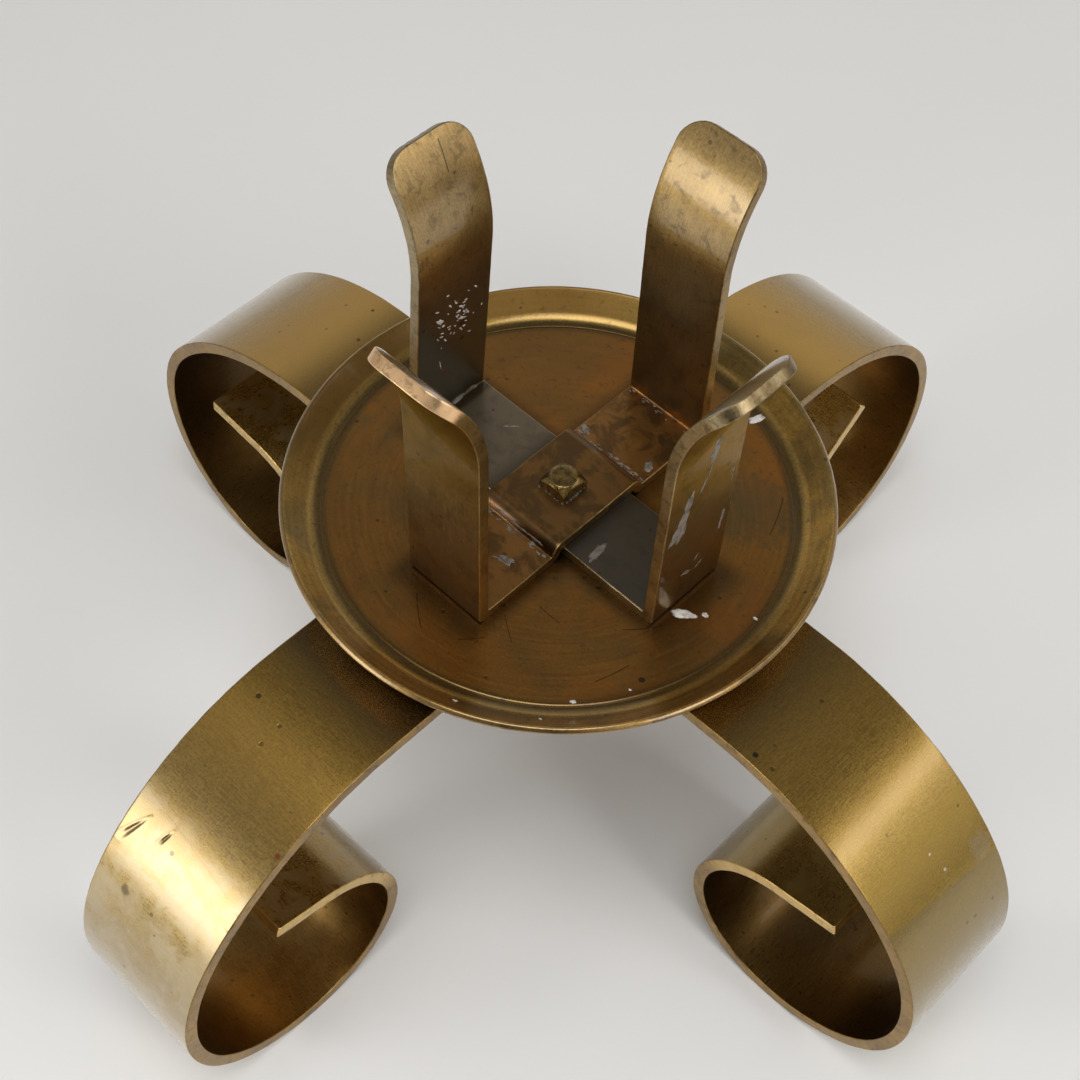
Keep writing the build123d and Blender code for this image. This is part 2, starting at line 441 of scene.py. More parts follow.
def revolved(name, section, turns, materials, slots):
    """Closed body turned about Z; section(angle) gives its closed (radius, height) outline there."""
    vertices = []
    for k in range(turns):
        angle = 2 * math.pi * k / turns
        for radius, height in section(angle):
            vertices.append((radius * math.cos(angle), radius * math.sin(angle), height))
    count = len(vertices) // turns
    faces = []
    face_slots = []
    for k in range(turns):
        after = (k + 1) % turns
        for i in range(count):
            j = (i + 1) % count
            faces.append((k * count + i, after * count + i, after * count + j, k * count + j))
            face_slots.append(slots[i])
    mesh, layer = new_mesh(name, vertices, faces, materials, face_slots)
    for index, polygon in enumerate(mesh.polygons):
        closes_circle = index // count == turns - 1
        for loop_index in polygon.loop_indices:
            vertex = mesh.loops[loop_index].vertex_index
            turn = vertex // count
            if turn == 0 and closes_circle:
                turn = turns
            along = turn / turns * 2 * math.pi * PAN_FLOOR_RADIUS
            layer.data[loop_index].uv = (along, mesh.vertices[vertex].co.xy.length)
    return finished(name, mesh)


def square(angle, side):
    """Distance from the middle of a square to its outline."""
    return side / 2 / max(abs(math.cos(angle)), abs(math.sin(angle)))


# Materials ---------------------------------------------------------------------------------------

def feed(tree, socket, value):
    """Link an output to a socket, or set the socket to a value."""
    if isinstance(value, bpy.types.NodeSocket):
        tree.links.new(value, socket)
    elif isinstance(value, tuple) and len(value) == 3 and socket.type == "RGBA":
        socket.default_value = (*value, 1.0)
    else:
        socket.default_value = value


def new_node(tree, kind, inputs, settings):
    made = tree.nodes.new("ShaderNode" + kind)
    for setting, value in settings.items():
        setattr(made, setting, value)
    for socket, value in inputs.items():
        feed(tree, made.inputs[socket], value)
    return made


class Graph:
    """A material's node tree, with short ways to add nodes."""

    def __init__(self, name):
        self.material = bpy.data.materials.new(name)
        self.material.use_nodes = True
        self.tree = self.material.node_tree
        self.shader = self.tree.nodes["Principled BSDF"]
        self.object_place = self.node("TexCoord").outputs["Object"]
        bar = self.node("UVMap", uv_map="bar").outputs["UV"]
        split = self.node("SeparateXYZ", {"Vector": bar})
        self.along = split.outputs["X"]
        self.across = split.outputs["Y"]

    def node(self, kind, inputs=None, **settings):
        return new_node(self.tree, kind, inputs or {}, settings)

    def join(self, values):
        """Feed the shader's sockets."""
        for socket, value in values.items():
            feed(self.tree, self.shader.inputs[socket], value)
        return self.material

    def math(self, operation, a, b=0.0):
        return self.node("Math", {0: a, 1: b}, operation=operation).outputs[0]

    def times(self, a, b):
        return self.math("MULTIPLY", a, b)

    def minus(self, a, b):
        return self.math("SUBTRACT", a, b)

    def gap(self, value, middle):
        """How far value is from middle, either way."""
        return self.math("ABSOLUTE", self.minus(value, middle))

    def from_bolt(self):
        """Distance from the bolt along the bar, either way."""
        return self.math("ABSOLUTE", self.along)

    def fade(self, value, low, high, to_low=0.0, to_high=1.0):
        """Smooth step of value from low to high."""
        made = self.node("MapRange", {"Value": value, "From Min": low, "From Max": high, "To Min": to_low,
                                      "To Max": to_high}, interpolation_type="SMOOTHSTEP")
        return made.outputs["Result"]

    def fade_out(self, value, low, high):
        """Smooth step from 1 down to 0 as value goes from low to high."""
        return self.fade(value, low, high, 1.0, 0.0)

    def mix(self, share, a, b, blend="MIX"):
        return self.node("Mix", {0: share, 6: a, 7: b}, data_type="RGBA", blend_type=blend).outputs[2]

    def noise(self, scale, detail=3.0, roughness=0.5, place=None, distortion=0.0):
        made = self.node("TexNoise", {"Vector": place or self.object_place, "Scale": scale,
                                      "Detail": detail, "Roughness": roughness, "Distortion": distortion})
        return made.outputs["Fac"]

    def brushed(self, along, across):
        """Place stretched so that noise becomes fine lines; the two are lines per metre."""
        made = self.node("CombineXYZ", {"X": self.times(self.along, along),
                                        "Y": self.times(self.across, across)})
        return made.outputs["Vector"]

    def specks(self, scale, size, share):
        """1 inside scattered round specks: share of the cells has one, size is its radius in cells."""
        cells = self.node("TexVoronoi", {"Vector": self.object_place, "Scale": scale})
        chance = self.node("SeparateColor", {"Color": cells.outputs["Color"]}).outputs["Red"]
        radius = self.fade(chance, 1.0 - share, 1.0, 0.0, size)
        return self.fade(self.minus(radius, cells.outputs["Distance"]), 0.0, size * 0.25)

    def clouds(self, scale, low, high, seed=0.0, detail=5.0):
        """0 to 1 in soft irregular patches; low and high set how much of the surface they take."""
        moved = self.node("VectorMath", {0: self.object_place, 1: (seed, seed, 0.0)}, operation="ADD")
        return self.fade(self.noise(scale, detail, 0.62, moved.outputs["Vector"], 0.5), low, high)

    def spot(self, along, across, radius, ragged=0.5):
        """1 inside a ragged spot at a place of the bar."""
        ds, dv = self.minus(self.along, along), self.minus(self.across, across)
        away = self.math("SQRT", self.math("ADD", self.times(ds, ds), self.times(dv, dv)))
        shaken = self.math("ADD", away, self.times(self.noise(420.0, 4.0, 0.7), radius * ragged * 2))
        return self.fade_out(shaken, radius * (0.7 + ragged), radius * (1.25 + ragged))

    def scratch(self, start, end, width):
        """1 on a straight line between two places of the bar."""
        run, rise = end[0] - start[0], end[1] - start[1]
        length = math.hypot(run, rise)
        run, rise = run / length, rise / length
        ds, dv = self.minus(self.along, start[0]), self.minus(self.across, start[1])
        ahead = self.math("ADD", self.times(ds, run), self.times(dv, rise))
        aside = self.gap(self.times(dv, run), self.times(ds, rise))
        on_line = self.fade_out(aside, width * 0.4, width)
        inside = self.fade_out(self.gap(ahead, length / 2), length / 2 - width, length / 2)
        return self.times(on_line, inside)

    def layer(self, mask, share, colour=None, roughness=None, coat=None):
        """Lay a stain, a clean patch, painted light or painted shade over what is there, as strongly as
        share.
        """
        strength = self.times(mask, share)
        if colour:
            self.colour = self.mix(strength, self.colour, colour)
        if roughness is not None:
            self.roughness = self.blend(strength, self.roughness, roughness)
        if coat is not None:
            self.coat = self.blend(strength, self.coat, coat)

    def blend(self, share, a, b):
        return self.node("Mix", {0: share, 2: a, 3: b}, data_type="FLOAT").outputs[0]

    def bump(self, height, strength, distance):
        bump = self.node("Bump", {"Height": height, "Strength": strength, "Distance": distance})
        return bump.outputs["Normal"]

    def metal(self, colour, grain, roughness, coat):
        """Brushed metal under a thin clear lacquer; grain is lines per metre along and across."""
        lines = self.noise(1.0, 3.0, 0.6, self.brushed(*grain))
        grit = self.noise(1500.0, 2.0, 0.6)
        self.tone = self.math("ADD", self.times(lines, 0.5), self.times(grit, 0.5))
        self.colour = self.mix(1.0, colour, self.fade(self.tone, 0.3, 0.7, 0.72, 1.25), "MULTIPLY")
        self.roughness = self.fade(self.tone, 0.25, 0.75, roughness - 0.05, roughness + 0.07)
        self.coat = coat
        self.dents = 0.0

    def pits(self, amount):
        """Dark pits of two sizes, sunk into the metal."""
        small = self.times(self.specks(260.0, 0.2, 0.3 * amount), 0.55)
        large = self.times(self.specks(70.0, 0.1, 0.22 * amount), 0.8)
        self.dents = self.math("MAXIMUM", small, large)
        self.layer(self.dents, 1.0, PIT_DIRT)

    def finish(self, coat_roughness=0.1, edge_tint=(1.0, 1.0, 1.0)):
        """Join everything to the shader; edge_tint is the metal's tint seen nearly edge on."""
        height = self.minus(self.times(self.tone, 0.35), self.dents)
        return self.join({
            "Base Color": self.colour, "Metallic": 1.0, "Roughness": self.roughness,
            "Specular Tint": edge_tint, "Normal": self.bump(height, 0.35, 0.12 * MM),
            "Coat Weight": self.coat, "Coat Roughness": coat_roughness, "Coat IOR": 1.5,
            "Coat Normal": self.bump(self.noise(300.0, 2.0), 0.1, 0.4 * MM)})

    def dull(self, colour, roughness, specular, grit=None):
        """Join a material that isn't metal; grit is the scale and strength of its bump."""
        if grit:
            self.join({"Normal": self.bump(self.noise(grit[0], 4.0), grit[1], 0.1 * MM)})
        return self.join({"Base Color": colour, "Roughness": roughness, "Specular IOR Level": specular})


# Lines per metre along and across the bar
CROSS_GRAIN = (2600.0, 160.0)
LONG_GRAIN = (120.0, 2400.0)
SPUN_GRAIN = (40.0, 900.0)

PATINA = (0.17, 0.1, 0.03)
VERDIGRIS = (0.1, 0.11, 0.06)
# dark dirt, also used for painted contact shadows and painted shade in the pan's cove
DIRT_AND_SHADE = (0.03, 0.022, 0.013)
PIT_DIRT = (0.045, 0.032, 0.02)
WORN = (0.42, 0.35, 0.24)
PALE_SPECK = (0.8, 0.75, 0.65)

# How far along a leg the end of its scroll is rubbed bright, with a painted highlight
SCROLL_END = 0.345
# Both ends of each scratch, as (place round the pan, distance from its middle)
PAN_SCRATCHES = [((0.04, 0.06), (0.055, 0.064)), ((0.09, 0.061), (0.101, 0.05)),
                 ((0.38, 0.06), (0.392, 0.057)), ((0.31, 0.05), (0.322, 0.057)),
                 ((0.2, 0.048), (0.206, 0.056)), ((0.395, 0.046), (0.41, 0.05)),
                 ((0.345, 0.041), (0.352, 0.049)), ((0.334, 0.054), (0.342, 0.05)),
                 ((0.36, 0.036), (0.37, 0.041))]


def leg_outer(name, upper_colour, pan_shade_share, marks):
    """Outer face of the legs: darker near the pan with painted shade, worn low down; marks adds one bar's
    own marks.
    """
    g = Graph(name)
    g.metal((0.38, 0.25, 0.062), CROSS_GRAIN, 0.27, 1.0)
    g.layer(g.clouds(14.0, 0.4, 0.7), 0.3, PATINA)
    g.layer(g.fade_out(g.from_bolt(), 0.105, 0.138), 0.85, upper_colour, coat=0.5)
    g.layer(g.clouds(90.0, 0.45, 0.8, 3.0, 6.0), 0.12, PATINA)
    # painted shadow of the pan: the face darkens towards the pan
    pan_shadow_mask = g.fade_out(g.from_bolt(), 0.075, 0.1)
    g.layer(pan_shadow_mask, pan_shade_share, (0.07, 0.055, 0.032), coat=0.5)
    low = g.fade(g.from_bolt(), 0.14, 0.175)
    g.layer(g.times(g.clouds(140.0, 0.46, 0.62, 11.0, 8.0), low), 0.35, WORN, 0.45, 0.5)
    marks(g)
    g.pits(1.0)
    return g.finish(0.14)


def lower_leg_marks(g):
    """The +X leg is a richer gold low down, up to a sharp slanted line past which it is darker olive under
    fuller lacquer: the gold band and its line paint the lower edge of the right softbox's reflection.

    It has a black mark and pale specks, and the -X leg has two black ones.
    """
    g.layer(g.spot(0.0905, -0.0193, 0.0008), 0.9, DIRT_AND_SHADE)
    # painted reflection: the richer gold band stands in for the right softbox's lit zone
    g.layer(g.fade(g.along, 0.125, 0.138), 0.8, (0.34, 0.22, 0.034), coat=0.55)
    # the sharp slanted line paints that reflection's lower edge; past it the patina is darker olive under
    # fuller lacquer
    softbox_reflection_edge = g.minus(g.along, g.times(g.across, 0.144))
    g.layer(g.fade(softbox_reflection_edge, 0.1537, 0.1549), 0.55, (0.24, 0.18, 0.075), coat=1.0)
    for along, across, radius, share, colour in (
            (0.1525, 0.0173, 0.004, 0.35, WORN), (0.1425, 0.0015, 0.0004, 0.7, PALE_SPECK),
            (0.1493, 0.0035, 0.0005, 0.7, PALE_SPECK), (-0.0956, 0.0163, 0.0005, 0.9, DIRT_AND_SHADE),
            (-0.0892, 0.0045, 0.0006, 0.8, DIRT_AND_SHADE)):
        g.layer(g.spot(along, across, radius), share, colour)


def upper_leg_marks(g):
    """The -Y leg: paler low down as a painted highlight, mottled with worn patches that also paint the
    floor's reflection, with a stain, scratches and a red speck.
    """
    down = g.times(g.along, -1.0)
    # painted highlight: the pale band lightens the base where the left lamp's highlight lies
    pale = g.times(g.fade(down, 0.128, 0.15), g.fade_out(down, 0.2, 0.23))
    g.layer(pale, 0.3, (0.52, 0.4, 0.2))
    # pale mottled patches: worn lacquer, also a painted reflection of the floor
    g.layer(g.times(pale, g.clouds(110.0, 0.42, 0.6, 31.0, 8.0)), 0.35, (0.55, 0.47, 0.33), 0.4)
    g.layer(g.spot(-0.1655, 0.0109, 0.0016, 0.8), 0.6, DIRT_AND_SHADE, 0.5, 0.2)
    g.layer(g.spot(-0.1275, -0.0208, 0.0009), 0.8, (0.3, 0.04, 0.02))
    for start, end, width, share, colour in (
            ((-0.1387, 0.0198), (-0.1447, -0.0173), 0.00015, 0.3, PATINA),
            ((-0.1528, 0.0196), (-0.147, 0.0168), 0.0008, 0.5, (0.2, 0.13, 0.06)),
            ((-0.1468, 0.0084), (-0.1434, 0.0073), 0.0005, 0.6, (0.1, 0.06, 0.03))):
        g.layer(g.scratch(start, end, width), share, colour)


def leg_inner(name, colour):
    """Underside of a leg, the inside of its scrolls: dull and patchy brown."""
    g = Graph(name)
    g.metal(colour, CROSS_GRAIN, 0.3, 0.2)
    g.layer(g.clouds(18.0, 0.4, 0.66), 0.5, (0.13, 0.07, 0.022))
    g.layer(g.clouds(200.0, 0.55, 0.75, 5.0), 0.3, DIRT_AND_SHADE, 0.45)
    g.pits(1.3)
    return g.finish()


def strap_edge(name, colour, rubbed_glint_end=None):
    """Edge of a bar, bright at the end of a scroll and, when an end place is given, beyond it, where it is
    rubbed clean and the brightness also paints a highlight.
    """
    g = Graph(name)
    g.metal(colour, LONG_GRAIN, 0.38, 0.25)
    g.layer(g.clouds(40.0, 0.42, 0.66), 0.5, PATINA)
    # rubbed scroll end, made brighter still as a painted highlight
    g.layer(g.fade(g.from_bolt(), SCROLL_END - 0.015, SCROLL_END), 0.7, (0.8, 0.54, 0.18), 0.3)
    if rubbed_glint_end is not None:
        # rubbed tip edge, made brighter still as a painted glint
        g.layer(g.fade_out(g.along, rubbed_glint_end - 0.004, rubbed_glint_end), 0.9, (1.0, 0.66, 0.36), 0.38)
    g.layer(g.clouds(420.0, 0.5, 0.66, 4.0), 0.4, DIRT_AND_SHADE)
    return g.finish(0.2)


def clamp_face(name, marks):
    """Inside of the prongs and top of the crossing: brown and darker low down, lighter at the tips."""
    g = Graph(name)
    g.metal((0.42, 0.28, 0.1), LONG_GRAIN, 0.32, 1.0)
    # darker low down, lighter towards the tips
    uneven = g.math("ADD", g.from_bolt(), g.times(g.noise(60.0, 4.0), 0.05))
    g.layer(g.fade_out(uneven, 0.075, 0.15), 0.9, (0.07, 0.055, 0.035), coat=0.8)
    g.layer(g.clouds(45.0, 0.42, 0.72), 0.35, PATINA)
    g.layer(g.clouds(260.0, 0.52, 0.68, 6.0, 7.0), 0.4, DIRT_AND_SHADE, 0.5, 0.5)
    marks(g)
    g.pits(1.6)
    return g.finish()


def lower_clamp_marks(g):
    """The flats are grey with a painted sheen, the +X one darker, with dirt and painted contact shadow
    beside the bar that crosses.

    The -X prong is grey low down, with a diagonal scratch and a red speck.
    """
    flat = g.fade_out(g.from_bolt(), 0.041, 0.043)
    # painted reflection: the grey on the flats stands in for the wax film's sheen
    g.layer(flat, 0.8, (0.25, 0.2, 0.13), 0.4)
    # dirt and painted contact shadow beside the crossing bar
    g.layer(g.fade_out(g.from_bolt(), CLAMP_WIDTH / 2, 0.021), 0.7, DIRT_AND_SHADE)
    g.layer(g.times(flat, g.clouds(150.0, 0.5, 0.66, 13.0, 7.0)), 0.35, (0.09, 0.07, 0.045))
    west = g.times(g.along, -1.0)
    # grey band low on the -X prong
    grey_low_band = g.times(g.fade(west, 0.045, 0.05), g.fade_out(west, 0.08, 0.115))
    g.layer(grey_low_band, 0.85, (0.14, 0.15, 0.145))
    g.layer(g.times(flat, g.fade(g.along, 0.005, 0.015)), 0.7, (0.06, 0.055, 0.045), coat=0.6)
    g.layer(g.scratch((-0.1424, 0.0036), (-0.1332, 0.0027), 0.0003), 0.7, DIRT_AND_SHADE)
    g.layer(g.spot(-0.0626, -0.0027, 0.0008), 0.9, (0.4, 0.05, 0.03))


def upper_clamp_marks(g):
    """The flats are orange brown and mottled, the raised middle darker, with dirt and painted contact
    shadow in the joggles.
    """
    flat = g.fade_out(g.from_bolt(), 0.045, 0.049)
    g.layer(flat, 0.85, (0.42, 0.2, 0.05), coat=0.25)
    g.layer(g.times(flat, g.clouds(130.0, 0.44, 0.6, 17.0, 8.0)), 0.7, (0.1, 0.06, 0.025))
    # dirt and painted contact shadow in the joggles
    g.layer(g.fade_out(g.gap(g.from_bolt(), 0.0175), 0.001, 0.003), 0.6, DIRT_AND_SHADE)
    g.layer(g.fade_out(g.from_bolt(), 0.015, 0.018), 0.4, (0.1, 0.065, 0.025))


def clamp_back():
    """Outside of the prongs and underside of their bars: glossy low down, dull on -X and -Y."""
    g = Graph("clamp_back")
    g.metal((0.27, 0.165, 0.05), LONG_GRAIN, 0.34, 0.2)
    g.layer(g.clouds(35.0, 0.42, 0.66), 0.5, (0.14, 0.085, 0.03))
    g.layer(g.clouds(240.0, 0.52, 0.68, 9.0, 7.0), 0.4, DIRT_AND_SHADE, 0.5, 0.5)
    g.layer(g.fade_out(g.from_bolt(), 0.06, 0.11), 0.5, (0.25, 0.2, 0.14), coat=1.0)
    g.layer(g.fade(g.times(g.along, -1.0), 0.08, 0.1), 0.6, (0.12, 0.07, 0.02), coat=0.1)
    g.layer(g.clouds(80.0, 0.5, 0.66, 3.0, 7.0), 0.35, (0.04, 0.03, 0.018))
    g.pits(1.2)
    return g.finish(0.1, (0.85, 0.68, 0.42))


def pan_face():
    """Spun face: orange brown floor, olive rim, dark with dirt and painted shade where the wall starts,
    hair scratches.
    """
    g = Graph("pan_face")
    g.metal((0.52, 0.335, 0.09), SPUN_GRAIN, 0.32, 0.4)
    floor_part = g.fade_out(g.across, 0.064, 0.069)
    rim_part = g.fade(g.across, 0.069, 0.072)
    g.layer(floor_part, 0.85, (0.33, 0.142, 0.027), coat=0.2)
    g.layer(g.times(g.clouds(16.0, 0.38, 0.66, 2.0), floor_part), 0.6, (0.2, 0.115, 0.04))
    g.layer(g.times(g.clouds(28.0, 0.5, 0.66, 21.0), floor_part), 0.5, (0.45, 0.17, 0.03))
    g.layer(g.times(g.clouds(38.0, 0.5, 0.68, 5.0), floor_part), 0.35, VERDIGRIS)
    # dirt and painted shade in the cove where the wall starts
    g.layer(g.fade_out(g.gap(g.across, 0.0675), 0.0006, 0.0035), 0.7, DIRT_AND_SHADE)
    g.layer(g.times(g.clouds(30.0, 0.48, 0.6, 8.0), rim_part), 0.5, VERDIGRIS)
    stained = g.fade_out(g.gap(g.along, 0.195), 0.04, 0.09)
    g.layer(g.times(stained, rim_part), 0.9, (0.17, 0.095, 0.026), 0.48, 0.2)
    place = g.node("SeparateXYZ", {"Vector": g.object_place})
    beside = [g.gap(place.outputs[axis], middle) for axis, middle in (("X", BOLT.x), ("Y", BOLT.y))]
    # dirt and painted contact shadow on the pan beside the clamp bars
    for side, run in (beside, beside[::-1]):
        bar_contact_shade = g.fade_out(side, CLAMP_WIDTH / 2, CLAMP_WIDTH / 2 + 0.006)
        g.layer(g.times(bar_contact_shade, g.fade_out(run, 0.048, 0.057)), 0.6, DIRT_AND_SHADE)
    g.layer(g.clouds(480.0, 0.54, 0.72, 12.0, 8.0), 0.4, DIRT_AND_SHADE, 0.45, 0.6)
    g.layer(g.spot(0.05, 0.052, 0.016, 0.9), 0.4, VERDIGRIS)
    for start, end in PAN_SCRATCHES:
        g.layer(g.scratch(start, end, 0.00022), 0.7, DIRT_AND_SHADE)
    g.pits(0.8)
    return g.finish()


def pan_back():
    g = Graph("pan_back")
    g.metal((0.36, 0.22, 0.07), SPUN_GRAIN, 0.36, 1.0)
    g.layer(g.clouds(20.0, 0.42, 0.62), 0.6, PATINA)
    g.layer(g.clouds(120.0, 0.55, 0.65, 6.0), 0.4, DIRT_AND_SHADE)
    g.pits(1.0)
    return g.finish()


def fastener_brass():
    g = Graph("fastener_brass")
    g.metal((0.3, 0.2, 0.055), LONG_GRAIN, 0.3, 0.5)
    g.layer(g.clouds(220.0, 0.42, 0.6), 0.6, (0.12, 0.085, 0.035))
    g.layer(g.clouds(600.0, 0.52, 0.62, 3.0), 0.6, DIRT_AND_SHADE)
    return g.finish()


def old_wax(name, clean, dusty):
    """Dull waxy drips, greyed with dust."""
    g = Graph(name)
    dust = g.clouds(400.0, 0.4, 0.65)
    return g.dull(g.mix(dust, clean, dusty), g.fade(dust, 0.0, 1.0, 0.45, 0.65), 0.4, (900.0, 0.4))


def grime():
    g = Graph("bolt_grime")
    colour = g.mix(g.clouds(700.0, 0.4, 0.6), (0.13, 0.15, 0.15), (0.05, 0.05, 0.045))
    return g.dull(colour, 0.6, 0.5, (1400.0, 0.5))


def floor_paper():
    g = Graph("pale_paper")
    return g.dull(g.mix(g.noise(6.0, 4.0), (0.83, 0.83, 0.82), (0.86, 0.86, 0.85)), 0.75, 0.2)


LEG_EDGE = strap_edge("leg_edge", (0.36, 0.22, 0.065))
# lit and shaded copies of one underside: the upper leg's is painted lighter for the warm glow inside the -Y
# scroll, the lower leg's darker as painted shade
LOWER_LEG_INNER_SHADED = leg_inner("lower_leg_inner_shaded", (0.17, 0.1, 0.028))
UPPER_LEG_INNER_LIT = leg_inner("upper_leg_inner_lit", (0.34, 0.2, 0.055))
CLAMP_BACK = clamp_back()
LOWER_CLAMP_EDGE = strap_edge("lower_clamp_edge", (0.34, 0.265, 0.14))
# the -Y prong's rubbed tip edge carries a painted glint
UPPER_CLAMP_EDGE = strap_edge("upper_clamp_edge", (0.3, 0.195, 0.065), -0.133)
FASTENER = fastener_brass()

# Pieces ------------------------------------------------------------------------------------------


def settle(piece, node):
    """Let a piece stand in for its CAD node."""
    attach(piece, "root")
    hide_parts(node)


QUARTER_TURN = Matrix.Rotation(math.pi / 2, 4, "Z")
AT_BOLT = Matrix.Translation((BOLT.x, BOLT.y, 0))
SOUTH_GOUGES = [
    Gouge(-149.9 * MM, 18.0 * MM, 8.5 * MM, 1.8 * MM, -25, 0.26 * MM),
    Gouge(-145.1 * MM, 7.9 * MM, 4.5 * MM, 1.1 * MM, -17, 0.22 * MM),
]


def bar_piece(name, strap, materials):
    """Build and drill a bent bar; its CAD node has the same name, but for the last word."""
    piece = strap.build(name + "_bar", materials)
    drill(piece)
    settle(piece, name + "_strap")
    return strap


def lower_leg_strap():
    strap = Strap(leg_path(FOOT_EAST, False), leg_path(FOOT_WEST, False), LEG_WIDTH, LEG_CORNER, 1.7,
                  Matrix.Identity(4))
    face = leg_outer("lower_leg_outer", (0.42, 0.25, 0.05), 0.55, lower_leg_marks)
    bar_piece("lower_leg", strap, [face, LOWER_LEG_INNER_SHADED, LEG_EDGE])


def upper_leg_strap():
    strap = Strap(leg_path(FOOT_NORTH, True), leg_path(FOOT_SOUTH, True), LEG_WIDTH, LEG_CORNER, 4.1,
                  QUARTER_TURN, SOUTH_GOUGES)
    face = leg_outer("upper_leg_outer", (0.5, 0.3, 0.06), 0.92, upper_leg_marks)
    bar_piece("upper_leg", strap, [face, UPPER_LEG_INNER_LIT, LEG_EDGE])


def lower_clamp_strap():
    strap = Strap(clamp_path(PRONG_EAST, False), clamp_path(PRONG_WEST, False), CLAMP_WIDTH, TIP_CORNER,
                  9.2, AT_BOLT)
    face = clamp_face("lower_clamp_face", lower_clamp_marks)
    return bar_piece("lower_clamp", strap, [face, CLAMP_BACK, LOWER_CLAMP_EDGE])


def upper_clamp_strap():
    strap = Strap(clamp_path(PRONG_NORTH, True), clamp_path(PRONG_SOUTH, True), CLAMP_WIDTH, TIP_CORNER,
                  12.6, AT_BOLT @ QUARTER_TURN)
    face = clamp_face("upper_clamp_face", upper_clamp_marks)
    return bar_piece("upper_clamp", strap, [face, CLAMP_BACK, UPPER_CLAMP_EDGE])


def pan_side_view():
    """Side view of the pan from its middle to its lip."""
    slope = math.radians(PAN_COVE_ANGLE)
    cove_and_edge = (PAN_COVE_RADIUS + PAN_THICKNESS) * math.sin(slope)
    path = StripPath(0, PAN_FLOOR, PAN_THICKNESS)
    path.straight(PAN_FLOOR_RADIUS)
    path.bend(PAN_COVE_RADIUS, PAN_COVE_ANGLE)
    path.straight((PAN_RIM_RADIUS - PAN_FLOOR_RADIUS - cove_and_edge) / math.cos(slope))
    return path


PAN_PATH = pan_side_view()


def rounded_lip():
    """Points round the pan's lip, from its upper to its lower face."""
    down = (PAN_PATH.under - PAN_PATH.top) / PAN_THICKNESS
    ahead = PAN_PATH.direction()
    found = []
    for i in range(5):
        angle = math.radians(90 * i / 4)
        found.append((PAN_LIP_ROUND * (1 - math.sin(angle)), PAN_LIP_ROUND * (1 - math.cos(angle))))
    found += [(out, PAN_THICKNESS - depth) for out, depth in found[::-1]]
    return [PAN_PATH.top - ahead * out + down * depth for out, depth in found]


def drip_pan():
    groove_at = PAN_FLOOR_RADIUS - 0.6 * MM
    rows = PAN_PATH.rows() + [groove_at + i * 0.15 * MM for i in range(-5, 6)]
    rows = [0.0] + [s for s in spaced(rows, CLOSEST) if s < PAN_PATH.length - PAN_LIP_ROUND - CLOSEST]
    upper, lower = [], []
    for s in rows:
        top, under = PAN_PATH.at(s)
        groove = PAN_GROOVE_DEPTH * smooth(1 - abs(s - groove_at) / (0.5 * MM))
        upper.append(Vector((top.x, top.y - groove)))
        lower.append(under)
    lip = rounded_lip()
    outline = upper + lip + lower[::-1]
    slots = [0] * (len(upper) + 2) + [1] * (len(lip) - 2 + len(lower))

    def section(angle):
        """The outline with the rim's hand-spun unevenness at this place."""
        turn = Vector((math.cos(angle), math.sin(angle), 0.3))
        lift = (0.25 * noise.noise(turn * 1.3) + 0.06 * noise.noise(turn * 5.0)) * MM
        nick = 0.05 * noise.noise(turn * 40.0) * MM
        found = []
        for point in outline:
            share = smooth((point.x - PAN_FLOOR_RADIUS) / (PAN_RIM_RADIUS - PAN_FLOOR_RADIUS))
            found.append((point.x + share * nick, point.y + share * lift))
        return found

    piece = revolved("spun_pan", section, PAN_TURNS, [pan_face(), pan_back()], slots)
    drill(piece)
    settle(piece, "drip_pan")


# Bolt, washer and nut, sizes as the CAD has them
HEAD_SIDE = 9.525 * MM
HEAD_HEIGHT = 4.37 * MM
HEAD_FLAT_RADIUS = 4.05 * MM
HEAD_CHAMFER_SLOPE = math.radians(38)
BOLT_RADIUS = 3.175 * MM
BOLT_LENGTH = 25.4 * MM
THREAD_PITCH = 1.27 * MM
THREAD_DEPTH = 0.6 * MM
THREAD_START = 12.0 * MM
THREAD_STEPS = 6
BOLT_END_CHAMFER = 0.6 * MM
WASHER_RADIUS = 7.95 * MM
WASHER_BORE_RADIUS = 3.55 * MM
WASHER_THICKNESS = 1.6 * MM
NUT_SIDE = 11.1 * MM
NUT_HEIGHT = 5.6 * MM
NUT_BORE_RADIUS = 3.205 * MM
NUT_CHAMFER_SLOPE = math.radians(25)
ARRIS = 0.25 * MM
CHAMFER_DROP = 0.12 * MM


def place_turned(name, section, node):
    """A fastener on the bolt's axis."""
    piece = revolved(name, section, FASTENER_TURNS, [FASTENER], [0] * len(section(0.0)))
    piece.data.transform(AT_BOLT)
    settle(piece, node)


def chamfered_corner(angle, side, flat_radius, slope, face, away):
    """Outline from the flat of a square head over its chamfer to the side; away is 1 for a top face."""
    reach = square(angle, side)
    drop = max(0.0, reach - flat_radius) * math.tan(slope) + CHAMFER_DROP
    return [(flat_radius - ARRIS, face), (min(flat_radius, reach - ARRIS), face - away * ARRIS * 0.4),
            (reach - ARRIS, face - away * (drop - ARRIS * 0.3)), (reach, face - away * (drop + ARRIS))]


